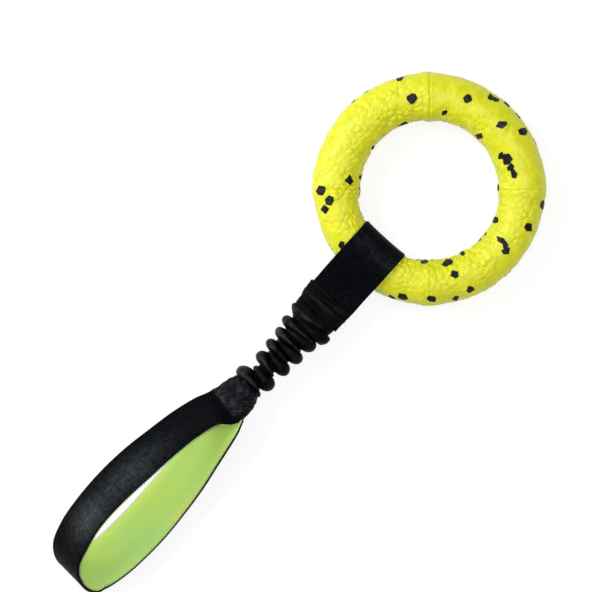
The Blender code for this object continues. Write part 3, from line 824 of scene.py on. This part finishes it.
def fold_height(x, angles, folds, valley):
    """How far folds stand out at x and at angles from the left over the top, and the painted sheen
    on their crests.
    """
    total = np.zeros(np.broadcast(x, angles).shape)
    crest = np.zeros(total.shape)
    for own, other, top, half_width, side in folds:
        nearness = (1 + side * np.cos(angles)) / 2
        middle = other + (own - other) * nearness
        power = FOLD_REACH - side * FOLD_TOP_BIAS * np.sin(angles)
        far = FOLD_FAR_WIDTHS[side]
        width = half_width * (far + (1 - far) * nearness ** 2)
        step = (x - middle) / (width * np.where(x > middle, 1 + FOLD_LEAN, 1 - FOLD_LEAN))
        hump = np.clip(1 - step ** 2, 0, 1)
        amplitude = (top - np.interp(middle, *valley)) * np.maximum(nearness, 1e-4) ** power
        total += (amplitude * hump ** FOLD_SHAPE) ** FOLD_MERGING
        sheen_share = hump ** 2 * np.clip(nearness * CREST_REACH, 0, 1) ** 0.5
        crest = np.maximum(crest, sheen_share * CREST_SHEEN_BY_SIDE[side])
    return total ** (1 / FOLD_MERGING), crest


def make_sleeve():
    """Ruched tube of thin fabric: folds from either side reach over the top and under."""
    x = np.linspace(*SLEEVE_ENDS_X, SLEEVE_STEPS)
    angles = round_angles(SLEEVE_SIDES)
    height, crest = fold_height(x[:, None], angles, SLEEVE_FOLDS, SLEEVE_VALLEY)
    middles = bungee_middle(x)
    radii = np.interp(x, *SLEEVE_VALLEY)[:, None] + height
    even = round_rows(middles, radii, angles)
    radii = radii + ripple(even, "sleeve_crumple") * ease(height, CRUMPLED_BELOW, 0)
    rows = round_rows(middles, radii + ripple(even, "sleeve_sag"), angles)
    # Painted highlight on the crests, strongest on the folds from the left, which face the lamps
    wear_and_painted_sheen = SLEEVE_PAINTED_SHEEN * crest * patches(even, "sleeve")
    piece = build("bungee_sleeve_ruched", "sleeve", walled(rows, middles, SLEEVE_WALL, wear_and_painted_sheen))
    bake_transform(piece)
    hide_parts("bungee_sleeve")


# Front cuff: runs of sections along X, the second turned in under the first's end
FRONT_SIDES = 144
FRONT_RUNS = ((0.0352, 0.0094, 170), (0.0092, 0.0098, 6))
# Place along X, half width, half height, squareness, and the radius between folds
FRONT_PROFILE = np.array((
    (0.0089, 0.0088, 0.0084, 2, 0.0088), (0.0104, 0.0097, 0.0086, 2, 0.0092),
    (0.013, 0.0116, 0.0088, 2.1, 0.01), (0.016, 0.0134, 0.0088, 2.2, 0.0116),
    (0.02, 0.0145, 0.0092, 2.4, 0.0132), (0.026, 0.0152, 0.0076, 2.8, 0.0146),
    (0.0335, 0.0157, 0.0042, 3.6, 0.0156), (0.0345, 0.0157, 0.004, 3.8, 0.0157),
    (0.0352, 0.0154, 0.0036, 3.8, 0.0154))).T
FRONT_FOLDS = (
    (0.0143, 0.0178, 0.012, 0.0034, 1), (0.0116, 0.0116, 0.0141, 0.0046, -1),
)
# Ribs across the cuff: place, slant, height, half width
FRONT_RIBS = ((0.0315, -0.05, 0.0008, 0.0011), (0.0281, -0.02, 0.0012, 0.0013),
                   (0.0225, 0.03, -0.0016, 0.0026), (0.0252, 0.05, 0.0005, 0.001))
RIB_SWAY, RIB_SWAY_SIZE, RIB_SIDE_SHARE = 0.0005, 0.008, 0.35
RIB_SLANT_REACH = 0.015
FRONT_FOLDS_EASE_X = (0.0088, 0.0103)
FRONT_HEM = ((0.00022, 0.034, 0.0007),)
FRONT_SHIFT = 0.0003
FRONT_SKEW, FRONT_SKEW_EASE_X = 0.075, (0.011, 0.016)
# Painted sheen on the cuff: where ribs take it, and its amount on crests, on ribs and all over
RIB_SHEEN_HEIGHT, RIB_SHEEN_EASE_X = 0.0012, (0.018, 0.022)
FRONT_SHEEN_CREST, FRONT_SHEEN_RIBS, FRONT_SHEEN_ALL = 0.4, 0.3, 0.02


def make_front_cuff():
    """Gathered cuff: flat over the strap's ends at its mouth, round where the sleeve begins."""
    x = np.concatenate([np.linspace(*run) for run in FRONT_RUNS])
    stations, *shape, valley = FRONT_PROFILE
    rows = boxy_rows(x, stations, shape, 0 * x, round_angles(FRONT_SIDES))
    middles = bungee_middle(x)
    outward = outward_ways(rows, middles)
    side, top = outward[:, :, 1], outward[:, :, 2]
    lift = np.zeros(side.shape)
    for place, slant, height, half_width in FRONT_RIBS:
        shift = slant * side * RIB_SLANT_REACH
        shift += RIB_SWAY * wobble(rows, RIB_SWAY_SIZE, place * 900, (0, 1, 1))
        rib = bell(x[:, None] - place - shift, 0, half_width)
        lift += height * rib * (RIB_SIDE_SHARE + (1 - RIB_SIDE_SHARE) * np.abs(top))
    folds, crest = fold_height(x[:, None], np.arctan2(top, side), FRONT_FOLDS,
                               (stations, valley))
    lift += folds * ease(x, *FRONT_FOLDS_EASE_X)[:, None]
    lift += ripple(rows, "front_cuff") + bells(x, FRONT_HEM)[:, None]
    rows = rows + outward * lift[:, :, None]
    rows[:, :, 1] += FRONT_SHIFT
    skewed = 1 - ease(x, *FRONT_SKEW_EASE_X)[:, None]
    rows[:, :, 0] += FRONT_SKEW * rows[:, :, 1] * skewed
    # Painted sheen on the fold crests and raised ribs, patchy
    ribbed = np.clip(lift / RIB_SHEEN_HEIGHT, 0, 1) * ease(x, *RIB_SHEEN_EASE_X)[:, None]
    wear_and_painted_sheen = FRONT_SHEEN_CREST * crest + FRONT_SHEEN_RIBS * ribbed + FRONT_SHEEN_ALL
    wear_and_painted_sheen *= patches(rows, "front_cuff")
    piece = build("front_cuff_gathered", "sleeve", walled(rows, middles, CUFF_WALL, wear_and_painted_sheen))
    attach(piece, "front_cuff")
    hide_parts("front_cuff")


NECK_STEPS, NECK_SIDES = 36, 72
NECK_ENDS_X = (0.015, 0.0075)
NECK_RADII = ((0.0075, 0.01, 0.0125, 0.015), (0.0078, 0.0084, 0.0087, 0.0084))
NECK_GATHERS, NECK_GATHER_DEPTH = 9, 0.02


def make_neck():
    """Gathered fabric that bends between the front cuff and the sleeve."""
    x = np.linspace(*NECK_ENDS_X, NECK_STEPS)
    angles = round_angles(NECK_SIDES)
    gathers = 1 + NECK_GATHER_DEPTH * np.cos(NECK_GATHERS * angles)
    middles = bungee_middle(x)
    rows = round_rows(middles, np.interp(x, *NECK_RADII)[:, None] * gathers, angles)
    piece = build("bungee_neck", "sleeve", walled(rows, middles, SLEEVE_WALL))
    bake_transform(piece)


# Rear cuff: place along X, half width, half height, squareness, and lean in degrees
REAR_STEPS, REAR_SIDES = 120, 132
REAR_PROFILE = np.array((
    (-0.0556, 0.0136, 0.0033, 3.6, 27), (-0.052, 0.0129, 0.004, 3, 25),
    (-0.048, 0.0125, 0.005, 2.6, 23), (-0.044, 0.0119, 0.0062, 2.3, 21),
    (-0.04, 0.0098, 0.0074, 2.1, 19), (-0.0368, 0.0083, 0.0078, 2, 18))).T
# Seams, and painted sheen across it: amount, place, spread
REAR_SEAMS = ((0.0005, -0.0395, 0.0011), (0.00025, -0.0545, 0.0008))
REAR_PAINTED_SHEEN = ((0.38, -0.0525, 0.0022), (0.16, -0.0425, 0.0022))
REAR_SHEEN_ALL = 0.16
REAR_BUMPS_EASE_X = (-0.0545, -0.047)
REAR_SKEW = 0.17


def make_rear_cuff():
    """Sewn tab: round at the sleeve, flat over the hand loop's ends, with a slanted mouth."""
    stations, *shape, leans = REAR_PROFILE
    x = np.linspace(stations[-1], stations[0], REAR_STEPS)
    tilts = np.radians(np.interp(x, stations, leans))
    rows = boxy_rows(x, stations, shape, tilts, round_angles(REAR_SIDES))
    middles = bungee_middle(x)
    lift = bells(x, REAR_SEAMS)[:, None] + ripple(rows, "rear_cuff")
    lift += ripple(rows, "rear_cuff_bumps") * ease(x, *REAR_BUMPS_EASE_X)[:, None]
    rows = rows + outward_ways(rows, middles) * lift[:, :, None]
    rows[:, :, 0] += REAR_SKEW * (rows[:, :, 1] - middles[:, None, 1])
    # Painted sheen in bands across the tab, patchy
    wear_and_painted_sheen = patches(rows, "rear_cuff") * (REAR_SHEEN_ALL + bells(x, REAR_PAINTED_SHEEN))[:, None]
    piece = build("rear_cuff_tab", "tab", walled(rows, middles, CUFF_WALL, wear_and_painted_sheen))
    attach(piece, "rear_cuff")
    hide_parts("rear_cuff")


ELASTIC_WIDTH = 0.0076
ELASTIC_THICKNESS = 0.0022
ELASTIC_CELLS, ELASTIC_STEPS = 12, 120
ELASTIC_ENDS_X = (0.029, -0.0535)
ELASTIC_TWIST_X = (-0.0376, 0.013)


def make_elastic():
    """Rubber band inside, which turns from the strap's level to the hand loop's lean."""
    x = np.linspace(*ELASTIC_ENDS_X, ELASTIC_STEPS)
    widths, normals = leaning(np.interp(x, ELASTIC_TWIST_X, (HANDLE_ROOT_TILT, 0)))
    section = band_section(ELASTIC_WIDTH / 2, ELASTIC_THICKNESS, -ELASTIC_THICKNESS / 2,
                           ELASTIC_CELLS)
    piece = build("bungee_elastic_band", "elastic",
                  band(bungee_middle(x), widths, normals, section))
    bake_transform(piece)
    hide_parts("bungee_elastic")


# Hand loop

HANDLE_STEPS = 420
HANDLE_CELLS = 40
HANDLE_WIDTH = 0.03
HANDLE_THICKNESS = 0.0016
HANDLE_SELVEDGE = 0.0001
HANDLE_TILT = math.radians(47)
HANDLE_ROOT_TILT = math.radians(27)
HANDLE_REACH = 0.1305
HANDLE_LEAN = 0.0214
HANDLE_RISE = 0.0309
HANDLE_LOW_LEVEL = 0.00756
# The loop's route as shares of its reach, lean, rise and tilt
HANDLE_ROUTE = (
    (0.0365, 0.425, 0.466, 0.95), (0.159, 0.655, 0.72, 1.01), (0.274, 0.78, 0.871, 0.97),
    (0.441, 0.915, 0.975, 0.89), (0.607, 0.985, 1, 0.93), (0.742, 0.965, 0.951, 0.97),
    (0.861, 0.845, 0.82, 0.93), (0.95, 0.655, 0.66, 0.96), (0.99, 0.385, 0.48, 0.95),
    (1, 0.12, 0.31, 0.85), (0.985, -0.05, 0.17, 0.68), (0.94, -0.128, 0.06, 0.53),
    (0.838, -0.27, 0, 0.46), (0.706, -0.352, 0, 0.44), (0.59, -0.372, 0, 0.45),
    (0.4655, -0.348, 0.03, 0.53), (0.3103, -0.287, 0.06, 0.67), (0.2017, -0.196, 0.095, 0.74),
    (0.1086, -0.117, 0.15, 0.78), (0.031, -0.02, 0.24, 0.74),
)
# Its ends inside the tab: place along X, distance from the tab's middle, share of its tilt
HANDLE_ROOTS = ((-0.046, 0.0009, 0.85), (-0.0505, 0.0009, 0.95), (-0.055, 0.001, 1.06))
# Width near the tab: places along X and shares
HANDLE_PINCH = ((-0.06, -0.056, -0.053, -0.05, -0.046), (1, 0.96, 0.89, 0.82, 0.76))
# Painted sheen along the left arm, and across it: amount, place, spread
HANDLE_PAINTED_SHEEN = ((0.62, -0.157, 0.013), (0.62, -0.122, 0.024))
HANDLE_SHEEN_ACROSS = ((1, -0.003, 0.01),)
SHEEN_ARM_SHARE = 0.46

PADDING_THICKNESS = 0.0025
PADDING_INSET = 0.0004
PADDING_CELLS, PADDING_EDGE_CELLS = 36, 7
PADDING_LIFT = 0.0001
PADDING_END_X = HANDLE_FOLD[0] + 0.0025
PADDING_TAPER_X = (0.0575, 0.07)
PADDING_END_SHARE = 0.3
PADDING_EDGE_SHARE = 0.25
PADDING_CROWN_POWER = 4
PADDING_FACE_SHARE = 0.6

STITCH_PITCH = 0.0017
STITCH_MARGIN = 0.02
STITCH_RADIUS = 0.00015
STITCHED_END_X = HANDLE_FOLD[0] - 0.004
# One stitch over the edge: past the webbing's edge, outward, along
STITCH_PATH = (
    (-0.001, HANDLE_THICKNESS + 0.00005, -0.0006),
    (0.0001, HANDLE_THICKNESS * 0.6, -0.00024),
    (0.00018, -0.0003, 0.00012), (-0.0002, -0.0009, 0.00036), (-0.0006, -0.0015, 0.0006),
)


def handle_stations():
    """Middle, width direction and outward direction along the hand loop's inner face."""
    scale = np.array((HANDLE_THICKNESS - HANDLE_REACH, HANDLE_LEAN, HANDLE_RISE, HANDLE_TILT))
    origin = np.array((HANDLE_FOLD[0], 0, HANDLE_LOW_LEVEL, 0))
    route = [origin + scale * shares for shares in HANDLE_ROUTE]
    out = leaning(HANDLE_ROOT_TILT)[1]
    upper, lower = ([np.array((*(bungee_middle(x) + out * side * gap), HANDLE_ROOT_TILT * turned))
                     for x, gap, turned in HANDLE_ROOTS] for side in (1, -1))
    curve = smooth_curve([*upper, *route, *lower[::-1]], HANDLE_STEPS)
    middles = curve[:, :3]
    headings = unit(np.gradient(middles, axis=0))
    widths = leaning(curve[:, 3])[0]
    widths = unit(widths - headings * np.sum(widths * headings, axis=1)[:, None])
    pinch = np.interp(middles[:, 0], *HANDLE_PINCH)
    return middles, widths * pinch[:, None], np.cross(widths, headings)


def webbing_shell(middles, widths, normals):
    """The loop's webbing, with a painted sheen along its left arm."""
    section = band_section(HANDLE_WIDTH / 2, HANDLE_THICKNESS, 0, HANDLE_CELLS,
                           selvedge=HANDLE_SELVEDGE)
    shell = band(middles, widths, normals, section)
    left_arm = np.arange(len(middles)) < len(middles) * SHEEN_ARM_SHARE
    sheen_share = np.where(left_arm, bells(middles[:, 0], HANDLE_PAINTED_SHEEN), 0)
    side = bells(section[0], HANDLE_SHEEN_ACROSS) * (section[1] > HANDLE_THICKNESS / 2)
    patchy = patches(shell["points"], "handle")
    shell["wear_and_painted_sheen"] = (sheen_share[:, None] * side).ravel() * patchy
    return shell


def lining_shell(middles, widths, normals):
    """The soft lining on the webbing's inner face, thin at its ends and along its edges."""
    lined = middles[:, 0] < PADDING_END_X
    middles, widths, normals = middles[lined], widths[lined], normals[lined]
    inset = HANDLE_WIDTH / 2 - PADDING_INSET
    across, outward = band_section(inset, PADDING_THICKNESS, -PADDING_THICKNESS, PADDING_CELLS,
                                   PADDING_EDGE_CELLS)
    full = ease(-middles[:, 0], *PADDING_TAPER_X)
    thin = full * (1 - PADDING_END_SHARE) + PADDING_END_SHARE
    crown = 1 - (across / inset) ** PADDING_CROWN_POWER
    thick = outward * thin[:, None] * (PADDING_EDGE_SHARE + (1 - PADDING_EDGE_SHARE) * crown)
    rows = swept(middles, widths, normals, across, thick - PADDING_LIFT)
    dimples = ripple(rows, "lining") * (outward < -PADDING_THICKNESS * PADDING_FACE_SHARE)
    return capped(rows - normals[:, None] * dimples[:, :, None])


def edge_stitches(middles, widths, normals):
    """Threads over both edges of webbing and lining, but not at the fold."""
    run = run_along(middles)
    stitches = []
    for place in np.arange(STITCH_MARGIN, run[-1] - STITCH_MARGIN, STITCH_PITCH):
        middle, width, normal = (np.array([np.interp(place, run, way[:, k]) for k in range(3)])
                                 for way in (middles, widths, normals))
        if middle[0] > STITCHED_END_X:
            continue
        heading = np.cross(normal, width)
        for side in (-1, 1):
            stitches.append(tube([middle + width * side * (HANDLE_WIDTH / 2 + past)
                                  + normal * out + heading * along
                                  for past, out, along in STITCH_PATH], STITCH_RADIUS))
    return stitches


def make_handle():
    """The hand loop's webbing, its soft lining and the stitches along both edges."""
    stations = handle_stations()
    webbing = build("handle_webbing_band", "webbing", webbing_shell(*stations))
    lining = build("handle_lining", "lining", lining_shell(*stations))
    thread = build("handle_edge_stitches", "thread", *edge_stitches(*stations))
    for piece in (webbing, lining):
        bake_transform(piece)
    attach(thread, "handle")
    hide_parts("handle_webbing", "handle_end_upper", "handle_end_lower")
    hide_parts("handle_padding")


# Camera, light and floor

CAMERA_HEIGHT = 3
SENSOR_WIDTH = 36
CLIP_END = 100
FLOOR_HALF_WIDTH = 20
FLOOR_LIT = 0.75
FLOOR_SEEN_LIT, FLOOR_SEEN_GLOW = 0.26, 0.78
WORLD_STRENGTH, WORLD_SEEN_STRENGTH = 0.42, 1
LAMP_CENTRE = RING_CENTRE * 0.3
# Lamps: direction, distance, size, energy
LAMPS = {
    "key": ((-0.15, 1, 1), 1.5, 0.7, 13),
    "low": ((-0.6, 1, 0.2), 1.4, 0.4, 6),
    "top": ((0.1, -0.15, 1), 1.6, 1.1, 11),
}


def make_camera():
    """A distant camera straight above, which sees the toy as the photograph does."""
    data = bpy.data.cameras.new("camera")
    data.sensor_fit = "HORIZONTAL"
    data.sensor_width = SENSOR_WIDTH
    data.lens = SENSOR_WIDTH * CAMERA_HEIGHT * PIXELS_PER_METRE / PICTURE_WIDTH
    data.clip_end = CLIP_END
    camera = put("camera", data)
    aim = picture_point(PICTURE_WIDTH / 2, PICTURE_HEIGHT / 2)
    camera.location = (*aim, RING_CENTRE[2] + CAMERA_HEIGHT)
    camera.rotation_euler = (0, 0, -PICTURE_TURN)
    bpy.context.scene.camera = camera


def add_area_light(name, direction, distance, size, energy):
    data = bpy.data.lights.new(name, "AREA")
    data.size = size
    data.energy = energy
    light = put(name, data)
    away = Vector(direction).normalized()
    light.location = Vector(LAMP_CENTRE) + away * distance
    light.rotation_mode = "QUATERNION"
    light.rotation_quaternion = away.to_track_quat("Z", "Y")


def make_floor():
    """Pale floor that stays white but for the toy's soft shadow."""
    half = FLOOR_HALF_WIDTH
    mesh = bpy.data.meshes.new("floor")
    mesh.from_pydata([(-half, -half, 0), (half, -half, 0), (half, half, 0), (-half, half, 0)],
                     [], [(0, 1, 2, 3)])
    put("floor", mesh)
    material = bpy.data.materials.new("floor")
    material.use_nodes = True
    material.node_tree.nodes.clear()
    nodes = Nodes(material.node_tree)
    rays = nodes.add("LightPath").outputs
    plain, dim = (nodes.add("BsdfDiffuse", {"Color": (*grey(tone), 1)}).outputs[0]
                  for tone in (FLOOR_LIT, FLOOR_SEEN_LIT))
    glow = nodes.add("Emission", {"Strength": FLOOR_SEEN_GLOW}).outputs[0]
    seen = nodes.add("AddShader", {0: dim, 1: glow}).outputs[0]
    direct = nodes.maths("MAXIMUM", rays["Is Camera Ray"], rays["Is Glossy Ray"])
    mixed = nodes.add("MixShader", {0: direct, 1: plain, 2: seen}).outputs[0]
    nodes.add("OutputMaterial", {"Surface": mixed})
    mesh.materials.append(material)


def make_world():
    """An even white world, dimmer as a light than as a backdrop."""
    world = bpy.data.worlds.new("world")
    bpy.context.scene.world = world
    world.use_nodes = True
    nodes = Nodes(world.node_tree)
    background = world.node_tree.nodes["Background"].inputs
    background["Color"].default_value = (1, 1, 1, 1)
    seen = nodes.add("LightPath").outputs["Is Camera Ray"]
    nodes.give(background["Strength"], nodes.spread(seen, WORLD_STRENGTH, WORLD_SEEN_STRENGTH))


bpy.context.scene.view_settings.view_transform = "Standard"
make_camera()
make_floor()
make_world()
for lamp_name, lamp in LAMPS.items():
    add_area_light(lamp_name, *lamp)

MATERIALS = {
    "foam": foam_material(),
    "fleck": fleck_material(),
    "webbing": woven_material("webbing", (0.0002, 0.0003, 0.0005), (0.004, 0.005, 0.0066), 0.0013,
                              rib=0.35, depth=0.00005, wear_size=320, gloss=0.01, fuzz_size=1100),
    "sleeve": woven_material("sleeve", (0.0002, 0.0002, 0.0003), (0.003, 0.0036, 0.0046), 0.0005,
                             depth=0.00003, wear_size=110, gloss=0.02),
    "tab": woven_material("tab", (0.0003, 0.0004, 0.0006), (0.0056, 0.007, 0.009), 0.0011,
                          depth=0.0001, wear_size=260, gloss=0.025, fuzz_size=900),
    "elastic": woven_material("elastic", grey(0.05), grey(0.12), 0.0008),
    "lining": lining_material(),
    "thread": thread_material(),
}
PEBBLE_PLACES = pebble_centres(random.Random(3))
PEBBLES = kdtree.KDTree(len(PEBBLE_PLACES))
for number, point in enumerate(torus_points(*PEBBLE_PLACES.T, TUBE_RADIUS)):
    PEBBLES.insert(point, number)
PEBBLES.balance()

for quarter_index, quarter_name in enumerate(QUARTERS):
    make_ring_quarter(quarter_index, quarter_name)
make_flecks()
make_strap()
make_front_cuff()
make_neck()
make_sleeve()
make_rear_cuff()
make_elastic()
make_handle()

core = frame["nodes"]["ring_core"]
core.data.materials.clear()
core.data.materials.append(MATERIALS["foam"])
